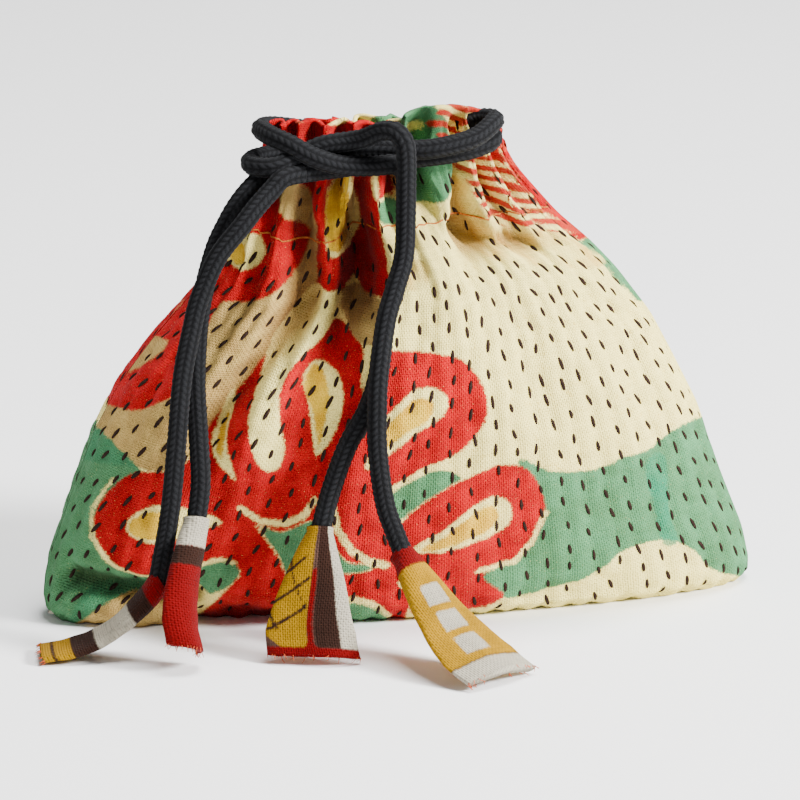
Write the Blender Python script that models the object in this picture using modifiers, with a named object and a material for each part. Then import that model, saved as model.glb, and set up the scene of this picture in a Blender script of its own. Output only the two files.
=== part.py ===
"""Drawstring dice bag: a stuffed kantha-cloth pouch with two braided drawcords.

Millimetres are turned into metres by mm(). The bag stands on z = 0 with its
long side along X and its front facing -Y. The front half and the back half
meet at the side seams in the plane y = 0.
"""
import math

import bmesh
import bpy
import numpy as np
from mathutils import Vector

for old in list(bpy.data.objects):
    bpy.data.objects.remove(old, do_unlink=True)

# ---------------------------------------------------------------- dimensions
GAP = 0.3              # clearance between neighbouring sub-parts
KANTHA = 0.9           # thickness of the stitched outer cloth
LINING = 0.5           # thickness of the inner cloth
NECK_X = -4.5          # the gathered neck sits a little left of the base
PANEL_TOP = 89.8       # where the panels end and the drawcord channels start
RING = 56              # points round the bag
PLEATS = 14            # gathers that run down from the neck
PLEAT_DEPTH = 0.9

CHANNEL_HALF = 14.0    # half length of a channel along X
LANE_Y = 7.3           # the cord's distance from the side-seam plane inside
LANE_LOW, LANE_HIGH = 94.9, 101.2
CHANNEL_WALL = 0.8
CHANNEL_BASE = 90.1
CHANNEL_TOP = 104.5
HEADER_HALF = 15.0     # half length of the frill along X
HEADER_BASE = 104.8
HEADER_HEIGHT = 4.9
HEADER_THICK = 1.3
HEADER_FRONT = 8.1     # y of the frill's outer bottom edge, its fold line

CORD_R = 2.15
SOCKET = 2.75          # how far a cord stops before a pivot's centre
TAB_TOP_W, TAB_END_W = 5.0, 18.0
TAB_END_T = 2.2

# Bag stations: height, half width, centre x, half depth.
STATIONS = (
    (0.0, 71.5, 0.0, 17.0),
    (2.0, 73.8, 0.0, 20.5),
    (5.0, 74.5, 0.0, 22.5),
    (12.0, 73.2, 0.0, 25.0),
    (25.0, 68.9, 0.2, 28.0),
    (40.0, 63.6, 0.4, 30.0),
    (50.0, 58.0, 1.0, 29.5),
    (60.0, 51.8, 2.2, 27.0),
    (70.0, 44.5, 3.3, 22.8),
    (76.0, 40.4, 2.6, 19.8),
    (82.0, 36.5, 0.5, 17.0),
    (86.0, 31.2, -1.5, 14.8),
    (89.0, 24.0, -3.6, 12.6),
    (PANEL_TOP, 17.5, NECK_X, 11.0),
)
ROWS = (0, 2, 5, 9, 14, 20, 27, 34, 41, 48, 54, 60, 65, 70, 74, 78, 82, 86, 89, PANEL_TOP)

# The knots' hinge lines run along X at these (y, z): the hanging ends lift about them.
LEFT_KNOT = (-14.5, 92.4)
CENTRE_KNOT = (-23.2, 100.4)

ROUTES = {
    "left_front": [
        (-28.0, *LEFT_KNOT), (-28.8, -17.5, 90.5), (-32.0, -20.2, 88.0),
        (-37.6, -21.4, 84.6), (-44.0, -21.6, 78.5), (-47.9, -22.6, 70.0),
        (-51.2, -26.0, 56.9), (-53.3, -29.8, 42.8), (-55.0, -31.4, 30.2),
        (-57.9, -32.4, 15.3)],
    "left_rear": [
        (-33.5, *LEFT_KNOT), (-37.6, -14.6, 88.4), (-42.4, -15.0, 79.8),
        (-45.6, -16.8, 69.6), (-47.6, -21.6, 56.5), (-48.0, -26.8, 43.7),
        (-48.2, -29.6, 35.7), (-49.6, -31.6, 27.6)],
    "centre_left": [
        (-2.7, -18.6, 99.6), (-2.7, -18.6, 94.0), (-2.8, -19.2, 88.0),
        (-3.8, -21.6, 79.4), (-6.2, -24.0, 73.2), (-8.7, -26.7, 67.0),
        (-10.9, -30.1, 57.0), (-13.8, -31.9, 49.8), (-18.2, -33.0, 42.6),
        (-21.7, -33.2, 33.2), (-24.3, -35.0, 25.2)],
    "centre_right": [
        (-3.6, *CENTRE_KNOT), (-3.7, -23.5, 95.0), (-3.9, -24.2, 90.0),
        (-4.8, -26.5, 80.8), (-7.2, -29.0, 74.6), (-9.7, -31.7, 68.4),
        (-11.9, -35.0, 58.3), (-12.6, -36.6, 50.6), (-12.6, -37.3, 42.2),
        (-11.2, -37.6, 31.6), (-9.2, -38.5, 25.2), (-7.4, -40.0, 20.1)],
}
# Tabs: the point where the tip lies, and the direction its width follows.
TABS = {
    "left_front": ((-79.6, -29.6, 1.9), (0.0, 1.0, 0.0)),
    "left_rear": ((-53.9, -42.4, 4.9), (0.35, 0.94, 0.0)),
    "centre_left": ((-27.4, -44.2, 1.9), (1.0, -0.3, 0.0)),
    "centre_right": ((7.5, -65.6, 1.9), (0.87, 0.49, 0.0)),
}


def mm(value):
    """Millimetres to metres."""
    return value * 0.001


def mmv(point):
    return Vector(point) * 0.001


# ----------------------------------------------------------------- materials
def material(name, colour, roughness, sheen=0.3):
    mat = bpy.data.materials.new(name)
    mat.use_nodes = True
    shader = mat.node_tree.nodes["Principled BSDF"]
    shader.inputs["Base Color"].default_value = (*colour, 1.0)
    shader.inputs["Roughness"].default_value = roughness
    shader.inputs["Metallic"].default_value = 0.0
    shader.inputs["Sheen Weight"].default_value = sheen
    mat.diffuse_color = (*colour, 1.0)
    return mat


CREAM = (0.78, 0.70, 0.53)
RED = (0.55, 0.03, 0.03)
GREEN = (0.16, 0.47, 0.27)
MUSTARD = (0.72, 0.50, 0.07)
UNBLEACHED = (0.82, 0.77, 0.66)
CHARCOAL = (0.022, 0.023, 0.027)
BROWN = (0.07, 0.03, 0.02)

bag_parts = bpy.data.collections.new("drawstring_dice_bag")
cutters = bpy.data.collections.new("seam_cutters")
bpy.context.scene.collection.children.link(bag_parts)
bpy.context.scene.collection.children.link(cutters)


def new_object(name, build_mesh, mat, smooth=True, collection=bag_parts):
    """Make a mesh object from a bmesh that a function has filled."""
    mesh = bpy.data.meshes.new(name)
    bm = build_mesh
    bmesh.ops.recalc_face_normals(bm, faces=bm.faces)
    bm.to_mesh(mesh)
    bm.free()
    if smooth:
        mesh.shade_smooth()
    obj = bpy.data.objects.new(name, mesh)
    if mat:
        mesh.materials.append(mat)
    collection.objects.link(obj)
    return obj


def set_origin(obj, point_mm):
    """Put an object's origin on its joint without moving its surface."""
    origin = mmv(point_mm)
    for vertex in obj.data.vertices:
        vertex.co -= origin
    obj.location = origin


# ------------------------------------------------------------- the bag's body
def station(z):
    """Half width, centre x and half depth at a height, all in mm."""
    heights = [s[0] for s in STATIONS]
    return [float(np.interp(z, heights, [s[i] for s in STATIONS])) for i in (1, 2, 3)]


def gather(z):
    """How strongly the neck's gathers show at a height."""
    return min(1.0, max(0.0, (z - 62.0) / 18.0)) * min(1.0, (PANEL_TOP - z) / 3.0 + 0.25)


def bag_ring(z):
    half_w, centre, half_d = station(z)
    pleat = PLEAT_DEPTH * gather(z)
    points = []
    for i in range(RING):
        t = 2 * math.pi * (i + 0.5) / RING
        wave = pleat * math.cos(PLEATS * t)
        x = centre + (half_w + wave) * math.cos(t)
        y = (half_d + wave) * math.copysign(abs(math.sin(t)) ** 0.84, math.sin(t))
        points.append((mm(x), mm(y), mm(z)))
    return points


def bag_surface():
    """The outside of the whole bag: a flat base, swelling sides, an open neck."""
    bm = bmesh.new()
    rings = [[bm.verts.new(p) for p in bag_ring(z)] for z in ROWS]
    bm.faces.new(rings[0])
    for low, high in zip(rings, rings[1:]):
        for i in range(RING):
            j = (i + 1) % RING
            bm.faces.new((low[i], low[j], high[j], high[i]))
    return bm


def half_space(side):
    """A block on one side of the side-seam plane; side is -1 for the front."""
    size = 200.0
    bm = bmesh.new()
    bmesh.ops.create_cube(bm, size=mm(size))
    name = "seam_cutter_front" if side < 0 else "seam_cutter_back"
    block = new_object(name, bm, None, smooth=False, collection=cutters)
    block.location = (0.0, mm(side * (size / 2 + GAP / 2)), mm(60.0))
    block.hide_render = True
    block.display_type = "WIRE"
    return block


def cloth_layer(name, depth, thickness, block, mat):
    """One half of a cloth layer that lies `depth` mm inside the bag's surface."""
    obj = new_object(name, bag_surface(), mat)
    shell = obj.modifiers.new("cloth thickness", "SOLIDIFY")
    shell.thickness = mm(thickness)
    shell.offset = -(1.0 + 2.0 * depth / thickness)
    shell.use_even_offset = True
    shell.use_rim = True
    cut = obj.modifiers.new("side seam", "BOOLEAN")
    cut.operation = "INTERSECT"
    cut.solver = "EXACT"
    cut.object = block
    return obj


def make_body():
    print_cream = material("kantha_front", CREAM, 0.9)
    print_red = material("kantha_back", RED, 0.9)
    inner_a = material("inner_cloth_front", UNBLEACHED, 0.95)
    inner_b = material("inner_cloth_back", UNBLEACHED, 0.95)
    front, back = half_space(-1), half_space(1)
    cloth_layer("front_panel", 0.0, KANTHA, front, print_cream)
    cloth_layer("back_panel", 0.0, KANTHA, back, print_red)
    cloth_layer("front_lining", KANTHA + GAP, LINING, front, inner_a)
    cloth_layer("back_lining", KANTHA + GAP, LINING, back, inner_b)


# ------------------------------------------------- channels and gathered frill
def make_channel(name, side, mat):
    """A folded hem: a flattened sleeve, open at both ends, for both cords."""
    inner_y = CORD_R + GAP
    inner_low, inner_high = LANE_LOW - inner_y, LANE_HIGH + inner_y
    outer_y = inner_y + CHANNEL_WALL
    centre = side * LANE_Y
    bm = bmesh.new()
    rows = 9
    sections = []
    for k in range(rows):
        x = NECK_X - CHANNEL_HALF + 2 * CHANNEL_HALF * k / (rows - 1)
        ruck = 0.35 * math.cos(math.pi * k)
        outer = [(centre - outer_y, CHANNEL_BASE), (centre + outer_y, CHANNEL_BASE),
                 (centre + outer_y + ruck * (side > 0), (CHANNEL_BASE + CHANNEL_TOP) / 2),
                 (centre + outer_y, CHANNEL_TOP), (centre - outer_y, CHANNEL_TOP),
                 (centre - outer_y - ruck * (side < 0), (CHANNEL_BASE + CHANNEL_TOP) / 2)]
        inner = [(centre - inner_y, inner_low), (centre + inner_y, inner_low),
                 (centre + inner_y, (inner_low + inner_high) / 2),
                 (centre + inner_y, inner_high), (centre - inner_y, inner_high),
                 (centre - inner_y, (inner_low + inner_high) / 2)]
        sections.append([[bm.verts.new((mm(x), mm(y), mm(z))) for y, z in loop]
                         for loop in (outer, inner)])
    for a, b in zip(sections, sections[1:]):
        for loop in (0, 1):
            for i in range(6):
                j = (i + 1) % 6
                bm.faces.new((a[loop][i], a[loop][j], b[loop][j], b[loop][i]))
    for outer, inner in (sections[0], sections[-1]):
        for i in range(6):
            j = (i + 1) % 6
            bm.faces.new((outer[i], outer[j], inner[j], inner[i]))
    return new_object(name, bm, mat, smooth=False)


def make_header(name, side, mat):
    """The short gathered frill above a channel, hinged on its outer bottom edge."""
    columns, levels = 31, 4
    bm = bmesh.new()
    grid = []
    for i in range(columns):
        u = i / (columns - 1)
        x = NECK_X - HEADER_HALF + 2 * HEADER_HALF * u
        edge = min(1.0, 6 * min(u, 1 - u))
        column = []
        for k in range(levels):
            v = k / (levels - 1)
            flare = v * (0.3 + 0.75 * math.sin(5 * 2 * math.pi * u) * edge)
            top = HEADER_HEIGHT * (0.86 + 0.14 * math.cos(2 * math.pi * 2.5 * u))
            near = HEADER_FRONT + flare
            far = near - HEADER_THICK
            z = HEADER_BASE + v * top
            column.append([bm.verts.new((mm(x), mm(side * y), mm(z))) for y in (near, far)])
        grid.append(column)
    for a, b in zip(grid, grid[1:]):
        for k in range(levels - 1):
            for face in (0, 1):
                bm.faces.new((a[k][face], b[k][face], b[k + 1][face], a[k + 1][face]))
        for k in (0, levels - 1):
            bm.faces.new((a[k][0], b[k][0], b[k][1], a[k][1]))
    for column in (grid[0], grid[-1]):
        for k in range(levels - 1):
            bm.faces.new((column[k][0], column[k + 1][0], column[k + 1][1], column[k][1]))
    obj = new_object(name, bm, mat)
    set_origin(obj, (NECK_X, side * HEADER_FRONT, HEADER_BASE))
    return obj


# -------------------------------------------------------------------- the cords
def arc(centre, radius, start, end, z_start, z_end, steps=6):
    """Points of a level turn about (x, y), in degrees, with a change of height."""
    points = []
    for k in range(steps + 1):
        f = k / steps
        t = math.radians(start + (end - start) * f)
        points.append((centre[0] + radius * math.cos(t), centre[1] + radius * math.sin(t),
                       z_start + (z_end - z_start) * f))
    return points


def smooth_path(points, spacing):
    """A Catmull-Rom curve through the points, walked at an even spacing in mm."""
    pts = [Vector(p) for p in points]
    pts = [2 * pts[0] - pts[1]] + pts + [2 * pts[-1] - pts[-2]]
    fine = []
    for p0, p1, p2, p3 in zip(pts, pts[1:], pts[2:], pts[3:]):
        for k in range(12):
            t = k / 12
            fine.append(0.5 * ((2 * p1) + (p2 - p0) * t + (2 * p0 - 5 * p1 + 4 * p2 - p3) * t * t
                               + (3 * p1 - p0 - 3 * p2 + p3) * t ** 3))
    fine.append(pts[-2])
    lengths = np.cumsum([0.0] + [(b - a).length for a, b in zip(fine, fine[1:])])
    count = max(2, round(lengths[-1] / spacing))
    walked = np.linspace(0.0, lengths[-1], count + 1)
    axes = [np.interp(walked, lengths, [p[i] for p in fine]) for i in range(3)]
    return [Vector(p) for p in zip(*axes)]


def make_cord(name, points, mat, hinge=None, spacing=2.2):
    """A round cord along a path; with a hinge, its start is a ball and its origin is there."""
    path = smooth_path(points, spacing)
    origin = Vector(hinge) if hinge else path[0]
    stations = [(p, 1.0) for p in path]
    if hinge:
        back = (path[0] - path[1]).normalized() * CORD_R
        dome = [math.radians(degrees) for degrees in (20, 50)]
        stations = [(path[0] + back * math.cos(r), math.sin(r)) for r in dome] + stations
    data = bpy.data.curves.new(name, "CURVE")
    data.dimensions = "3D"
    data.bevel_depth = mm(CORD_R)
    data.bevel_resolution = 2
    data.use_fill_caps = True
    spline = data.splines.new("POLY")
    spline.points.add(len(stations) - 1)
    for vertex, (place, size) in zip(spline.points, stations):
        vertex.co = (*(0.001 * (place - origin)), 1.0)
        vertex.radius = size
    data.materials.append(mat)
    obj = bpy.data.objects.new(name, data)
    obj.location = 0.001 * origin
    bag_parts.objects.link(obj)
    return obj


def right_cord_route():
    """Both ends leave at the right and run left in front, the lower one round the outside."""
    left, right = NECK_X - CHANNEL_HALF, NECK_X + CHANNEL_HALF
    knot_y, knot_z = LEFT_KNOT
    return ([(-33.5, knot_y, knot_z + SOCKET), (-33.3, -14.5, 96.2),
             (-32.0, -14.3, 97.1), (-29.5, -14.1, 97.3), (-24.0, -13.9, 97.2),
             (-10.0, -13.7, 97.2),
             (0.0, -13.7, 97.6), (right, -13.7, 98.2)]
            + arc((right + 2.5, -10.5), 3.2, -90, 90, 98.0, 95.2)
            + [(right, -LANE_Y, LANE_LOW), (left, -LANE_Y, LANE_LOW)]
            + arc((left, 0.0), LANE_Y, 270, 90, LANE_LOW, LANE_LOW, 8)[1:]
            + [(right, LANE_Y, LANE_LOW)]
            + arc((right, -3.2), 10.5, 90, 0, LANE_LOW, 92.9, 5)[1:]
            + arc((right, -3.2), 10.5, 0, -90, 92.9, 92.2, 5)[1:]
            + [(0.0, -13.7, 92.3), (-12.0, -13.8, 92.4), (-28.0 + SOCKET, knot_y, knot_z)])


def left_cord_route():
    """Both ends leave at the left and run right, over the right cord's ends."""
    left, right = NECK_X - CHANNEL_HALF, NECK_X + CHANNEL_HALF
    knot_y, knot_z = CENTRE_KNOT
    return ([(-2.7 - SOCKET, -18.6, 99.6), (-8.6, -17.8, 101.0),
             (-12.5, -15.2, 101.9), (left + 1.0, -13.7, 101.9)]
            + arc((left - 2.5, -10.5), 3.2, 270, 90, 101.8, LANE_HIGH)
            + [(left, -LANE_Y, LANE_HIGH), (right, -LANE_Y, LANE_HIGH)]
            + arc((right, 0.0), LANE_Y, -90, 90, LANE_HIGH, LANE_HIGH, 8)[1:]
            + [(left, LANE_Y, LANE_HIGH)]
            + arc((left, -4.2), 11.5, 90, 180, LANE_HIGH, 104.6, 5)[1:]
            + arc((left, -4.2), 11.5, 180, 270, 104.6, 106.4, 5)[1:]
            + [(-11.0, -17.6, 106.6), (-7.2, -20.2, 106.7), (-4.8, -22.2, 106.0),
               (-3.8, -23.1, 104.8), (-3.6, knot_y, knot_z + SOCKET)])


def make_cords():
    braid = {name: material(name + "_braid", CHARCOAL, 0.85)
             for name in ("right_cord", "left_cord", *(k + "_tail" for k in ROUTES))}
    make_cord("right_cord", right_cord_route(), braid["right_cord"])
    make_cord("left_cord", left_cord_route(), braid["left_cord"])
    for key, route in ROUTES.items():
        end = Vector(route[-1])
        back = (Vector(route[-2]) - end).normalized()
        points = route[:-1] + [tuple(end + back * SOCKET)]
        knot = LEFT_KNOT if key.startswith("left") else CENTRE_KNOT
        make_cord(key + "_tail", points, braid[key + "_tail"], hinge=(route[0][0], *knot))


# --------------------------------------------------------------------- the tabs
def make_tab(key, mat):
    """A folded strip of cloth on a cord's end, rounded about its own hinge."""
    pivot = Vector(ROUTES[key][-1])
    tip, width_hint = (Vector(v) for v in TABS[key])
    along = (tip - pivot).normalized()
    across = (width_hint - along * width_hint.dot(along)).normalized()
    normal = along.cross(across)
    length = (tip - pivot).length
    profile = []
    for degrees in (20, 50, 80):
        r = math.radians(degrees)
        profile.append((-CORD_R * math.cos(r), CORD_R * math.sin(r), TAB_TOP_W / 2))
    for f in (0.12, 0.3, 0.55, 0.8, 1.0):
        profile.append((f * length, CORD_R + (TAB_END_T / 2 - CORD_R) * min(1.0, f * 1.8),
                        (TAB_TOP_W + (TAB_END_W - TAB_TOP_W) * f ** 0.8) / 2))
    bm = bmesh.new()
    rings = []
    for s, half_t, half_w in profile:
        edge = min(0.5, 0.45 * half_t)
        outline = [(-half_w, -half_t + edge), (-half_w + edge, -half_t), (half_w - edge, -half_t),
                   (half_w, -half_t + edge), (half_w, half_t - edge), (half_w - edge, half_t),
                   (-half_w + edge, half_t), (-half_w, half_t - edge)]
        rings.append([bm.verts.new(0.001 * (pivot + along * s + across * w + normal * t))
                      for w, t in outline])
    for low, high in zip(rings, rings[1:]):
        for i in range(len(low)):
            j = (i + 1) % len(low)
            bm.faces.new((low[i], low[j], high[j], high[i]))
    bm.faces.new(rings[0])
    bm.faces.new(rings[-1])
    tab = new_object(key + "_tab", bm, mat)
    set_origin(tab, pivot)
    return tab


def make_tabs():
    colours = {"left_front": BROWN, "left_rear": RED, "centre_left": MUSTARD,
               "centre_right": MUSTARD}
    for key, colour in colours.items():
        make_tab(key, material(key + "_tab_cloth", colour, 0.9))


make_body()
make_channel("front_channel", -1, material("channel_front_cloth", RED, 0.9))
make_channel("back_channel", 1, material("channel_back_cloth", RED, 0.9))
make_header("front_header", -1, material("header_front_cloth", GREEN, 0.9))
make_header("back_header", 1, material("header_back_cloth", RED, 0.9))
make_cords()
make_tabs()
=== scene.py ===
"""Looks for the drawstring dice bag: kantha cloth, braided cords and cloth tabs on the CAD frame.

Lengths are millimetres inside the functions and turned into metres when a mesh is made.
The front of the bag faces -Y. Along the cloth, `turn` runs from 0 at the left side seam to pi at
the right one, and height is z.
"""
import math

import bpy
import numpy as np
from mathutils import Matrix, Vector


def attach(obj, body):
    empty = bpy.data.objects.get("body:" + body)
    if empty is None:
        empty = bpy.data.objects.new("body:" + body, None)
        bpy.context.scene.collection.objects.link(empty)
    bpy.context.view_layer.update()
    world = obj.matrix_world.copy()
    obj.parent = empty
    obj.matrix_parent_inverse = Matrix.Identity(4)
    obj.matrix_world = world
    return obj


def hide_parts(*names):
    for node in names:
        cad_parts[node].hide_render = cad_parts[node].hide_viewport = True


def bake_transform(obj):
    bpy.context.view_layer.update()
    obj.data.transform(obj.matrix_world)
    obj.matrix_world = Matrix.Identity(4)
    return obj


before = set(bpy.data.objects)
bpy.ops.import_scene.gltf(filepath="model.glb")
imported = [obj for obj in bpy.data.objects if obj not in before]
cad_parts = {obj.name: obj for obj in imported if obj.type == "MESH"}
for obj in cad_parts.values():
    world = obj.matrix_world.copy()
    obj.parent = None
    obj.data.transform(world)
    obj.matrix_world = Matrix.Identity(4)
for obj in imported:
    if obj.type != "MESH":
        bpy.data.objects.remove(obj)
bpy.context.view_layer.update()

MM = 0.001
rng = np.random.default_rng(7)

# ------------------------------------------------------------------ sizes (mm)
CORD_R = 2.15
CLOTH = 0.9
COLUMNS, BASE_ROWS, ROW_STEP = 220, 22, 0.8
TALLEST = 112.0                         # just above the frill, for the spacing of the rows
STITCH_LENGTH, STITCH_WIDTH, STITCH_THICKNESS = 2.5, 0.80, 0.48
STITCH_COLUMN, STITCH_PITCH = 5.0, 5.4
DIMPLE_DEPTH, DIMPLE_RADIUS, DEEPEST_DIMPLE = 0.62, 1.35, 0.8
THREAD_PITCH = 0.5
SEAM_Z, INNER_FACE_Z = 84.5, 84.0
NECK_BASE, NECK_TOP, FOLD_TOP = 80.0, 94.0, 98.0
NECK_FOLD_DEPTH = 7.0                   # depth of every gather in the neck
STITCH_BOTTOM, STITCH_TOP = 2.0, 93.0
GATHERED_Z, GATHERED_SHARE = 76.0, 0.62  # above this height only a share of the stitches shows
LINING_CLOTH, LINING_GAP, LINING_TOP = 0.4, 1.6, 80.0
BRAID_SIDES, BRAID_COLUMNS, BRAID_PITCH, BRAID_RELIEF = 40, 8, 1.35, 0.30
ROUND_COS, ROUND_SIN = 0.978, 0.208     # the front's print is laid out as seen from 12 degrees round
UP_COS, UP_SIN = 0.966, 0.259           # to the left and 15 degrees up
BARE = 9.0                              # a distance from the ink that leaves the cloth bare
PATH_STEP, PATH_SKIP = 0.34, 5

# Envelope of the stuffed bag: height, half width, centre x, half depth.
STATIONS = np.array([
    (0.0, 74.0, 0.0, 17.0), (2.0, 76.0, 0.0, 20.5), (5.0, 76.3, -0.3, 22.5),
    (12.0, 75.0, -0.6, 25.0), (25.0, 70.1, -0.9, 28.0), (40.0, 64.7, -0.7, 30.0),
    (50.0, 59.5, -0.5, 29.5), (60.0, 53.0, 0.8, 27.0), (70.0, 44.7, 1.7, 22.8),
    (76.0, 40.0, 0.8, 19.8), (82.0, 35.6, -1.6, 17.0), (86.0, 33.0, -2.5, 15.0),
    (89.5, 30.6, -3.1, 12.8), (93.0, 28.0, -3.4, 11.3), (98.0, 25.6, -3.7, 11.0),
    (103.0, 25.0, -3.9, 11.0), (106.0, 25.2, -4.0, 11.4), (110.0, 25.6, -4.0, 11.8)])

# Gathers: turn at the neck, turn and height where it dies out, depth at the neck's base.
FRONT_FOLDS = [
    (0.28, 0.30, 60, 2.6), (0.55, 0.53, 64, 3.4), (0.83, 0.97, 50, 8.0), (1.12, 1.10, 84, 1.2),
    (1.36, 1.12, 46, 15.0), (1.60, 1.52, 80, 2.0), (1.80, 1.72, 82, 1.6), (2.21, 1.86, 72, 8.0),
    (2.42, 2.24, 72, 3.6), (2.66, 2.50, 70, 2.4), (2.90, 2.80, 64, 1.6)]
BACK_FOLDS = [(0.26 + 0.262 * k + 0.03 * math.sin(9 * k), 0.30 + 0.255 * k + 0.1 * math.sin(5 * k),
               62 + 12 * math.sin(2.3 * k), 3.4 + 2.2 * math.sin(3.1 * k)) for k in range(11)]
# Creases of the belly: places (turn, height) along the crease, depth, width.
FRONT_CREASES = [
    ([(0.97, 68.0), (0.84, 56.0), (0.77, 46.0)], 5.5, 4.5),
    ([(1.08, 66.0), (0.99, 54.0), (0.95, 42.0)], -2.6, 6.0),
    ([(0.26, 11.0), (0.52, 9.5), (0.86, 8.0)], 8.0, 2.8),
    ([(0.86, 0.0), (1.02, 2.0), (1.22, 0.0)], 8.0, 4.0),
    ([(1.92, 82.0), (2.10, 79.5), (2.38, 78.5)], 4.0, 2.2),
    ([(2.42, 68.0), (2.66, 62.0)], 1.2, 2.6), ([(1.90, 4.0), (2.20, 6.0)], 1.6, 3.0)]
BACK_CREASES = [([(0.80, 60.0), (0.90, 44.0), (0.84, 30.0)], 2.2, 4.0),
                ([(2.20, 64.0), (2.10, 50.0)], 2.4, 3.4), ([(1.30, 8.0), (1.70, 6.0)], 2.6, 3.0)]

# Cord routes: from the channel's end, round the neck, over the knot and down.
ROUTES = {
    "left_front": [
        (11.0, 2.0, 100.2), (15.6, -1.0, 100.8), (18.0, -5.6, 100.8), (17.2, -10.2, 100.5),
        (13.0, -12.6, 99.6), (7.0, -13.2, 98.8), (0.0, -13.0, 98.2), (-10.0, -13.0, 97.4),
        (-19.0, -13.8, 96.8), (-24.0, -15.6, 96.8), (-28.1, -17.2, 96.4), (-30.7, -18.0, 94.2),
        (-34.3, -19.6, 91.0), (-37.7, -21.0, 87.4), (-42.8, -21.6, 81.4), (-46.6, -22.2, 73.4),
        (-48.6, -23.4, 67.0), (-51.2, -26.0, 56.9),
        (-53.3, -29.8, 42.8), (-55.0, -31.4, 30.2), (-57.9, -32.4, 15.3)],
    "left_rear": [
        (11.0, -4.0, 103.2), (15.6, -5.0, 104.2), (18.2, -8.0, 104.6), (16.8, -11.6, 104.2),
        (12.5, -15.0, 102.4), (6.0, -16.4, 101.2), (0.0, -15.8, 100.6), (-10.0, -13.2, 100.8),
        (-20.0, -11.4, 99.6), (-26.0, -10.4, 97.8), (-30.6, -11.8, 96.2), (-34.4, -13.6, 93.6),
        (-37.2, -14.4, 90.6), (-39.6, -14.8, 86.8), (-42.4, -15.0, 80.8), (-45.6, -16.8, 69.6),
        (-47.6, -21.6, 56.5), (-48.0, -26.8, 43.7), (-48.2, -29.6, 35.7), (-49.6, -31.6, 27.6)],
    "centre_left": [
        (-20.0, 3.0, 101.8), (-26.6, 2.0, 103.0), (-30.2, -3.6, 103.8), (-29.4, -10.6, 103.8),
        (-26.4, -14.6, 102.8), (-21.5, -16.8, 100.2), (-16.0, -17.2, 98.4), (-9.5, -17.4, 98.0),
        (-5.0, -18.0, 98.2), (-3.0, -18.6, 96.6), (-2.7, -18.6, 93.0), (-2.8, -19.2, 88.0),
        (-3.8, -21.6, 79.4), (-6.2, -24.0, 73.2), (-8.7, -26.7, 67.0), (-10.9, -30.1, 57.0),
        (-13.8, -31.9, 49.8), (-18.2, -33.0, 42.6), (-21.7, -33.2, 33.2), (-24.3, -35.0, 25.2)],
    "centre_right": [
        (-20.0, -4.0, 98.0), (-27.6, -4.0, 98.2), (-32.8, -7.4, 98.2), (-33.4, -12.4, 98.0),
        (-29.6, -15.4, 98.4), (-24.0, -14.0, 100.2), (-19.0, -14.4, 102.2), (-14.0, -15.4, 103.0),
        (-10.8, -17.2, 104.0), (-8.0, -19.6, 105.8), (-5.6, -21.8, 106.0), (-4.0, -23.0, 104.0),
        (-3.6, -23.2, 100.4), (-3.7, -23.5, 95.0), (-3.9, -24.2, 90.0), (-4.8, -26.5, 80.8),
        (-7.2, -29.0, 74.6), (-9.7, -31.7, 68.4), (-11.9, -35.0, 58.3), (-12.6, -36.6, 50.6),
        (-12.6, -37.3, 42.2), (-11.2, -37.6, 31.6), (-9.2, -38.5, 25.2), (-7.4, -40.0, 20.1)],
}
# The route point, counted from 1, where a hanging end leaves the knot.
KNOT_INDEX = {"left_front": 10, "left_rear": 11, "centre_left": 10, "centre_right": 12}
# Each tab: its tip, the way its width points, half widths at the tip on either side, its length as
# a share of the way to the tip, how much it is tented along its middle, and how far its middle bows
# sideways and outwards.
TABS = {
    "left_front": ((-79.6, -29.6, 1.9), (0.0, 1.0, 0.0), 5.4, 5.4, 1.08, 0.8, 0.0, -3.2),
    "left_rear": ((-53.9, -42.4, 4.9), (0.80, 0.60, 0.0), 5.8, 4.4, 1.03, 3.0, -2.6, 0.6),
    "centre_left": ((-27.4, -44.2, 1.9), (1.0, -0.3, 0.0), 9.6, 9.6, 1.02, 1.2, -0.8, 1.2),
    "centre_right": ((7.5, -65.6, 1.9), (0.87, 0.49, 0.0), 9.4, 9.4, 1.0, 0.6, -1.4, -1.0),
}
TAB_ROWS, TAB_SIDES, TAB_THREADS = 50, 56, 26
TAB_TOP_R, TAB_OVERLAP = 2.75, 0.045    # the overlap, as a share of its length, lies on the cord
TOWARDS_VIEWER = np.array((0.2, -0.97, 0.26))

# ------------------------------------------------------------------- colours
# Strong, clean inks, since the view's tone curve pales whatever is brightly lit.
CREAM, BUFF, BEIGE = (0.86, 0.73, 0.23), (0.60, 0.40, 0.06), (0.27, 0.135, 0.04)
RED, DARK_RED, STRIPE_RED = (0.48, 0.0025, 0.006), (0.31, 0.0012, 0.003), (0.38, 0.040, 0.018)
MINT, EMERALD, TEAL = (0.034, 0.205, 0.092), (0.020, 0.15, 0.064), (0.008, 0.20, 0.10)
YELLOW, MUSTARD, TAN = (0.74, 0.46, 0.03), (0.52, 0.27, 0.012), (0.58, 0.33, 0.06)
BROWN, THREAD, SEAM_THREAD = (0.020, 0.008, 0.005), (0.014, 0.007, 0.005), (0.26, 0.07, 0.015)
WHITE, TAB_YELLOW, TAB_RED = (0.33, 0.30, 0.23), (0.24, 0.125, 0.0), (0.12, 0.0003, 0.0012)
SAND, TAB_GROUND, HEM_THREAD = (0.44, 0.27, 0.08), (0.05, 0.025, 0.018), (0.34, 0.06, 0.02)
UNBLEACHED, FOLD_SHADE, FIBRE_GREY = (0.70, 0.63, 0.50), (0.30, 0.16, 0.12), (0.030, 0.032, 0.036)
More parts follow.
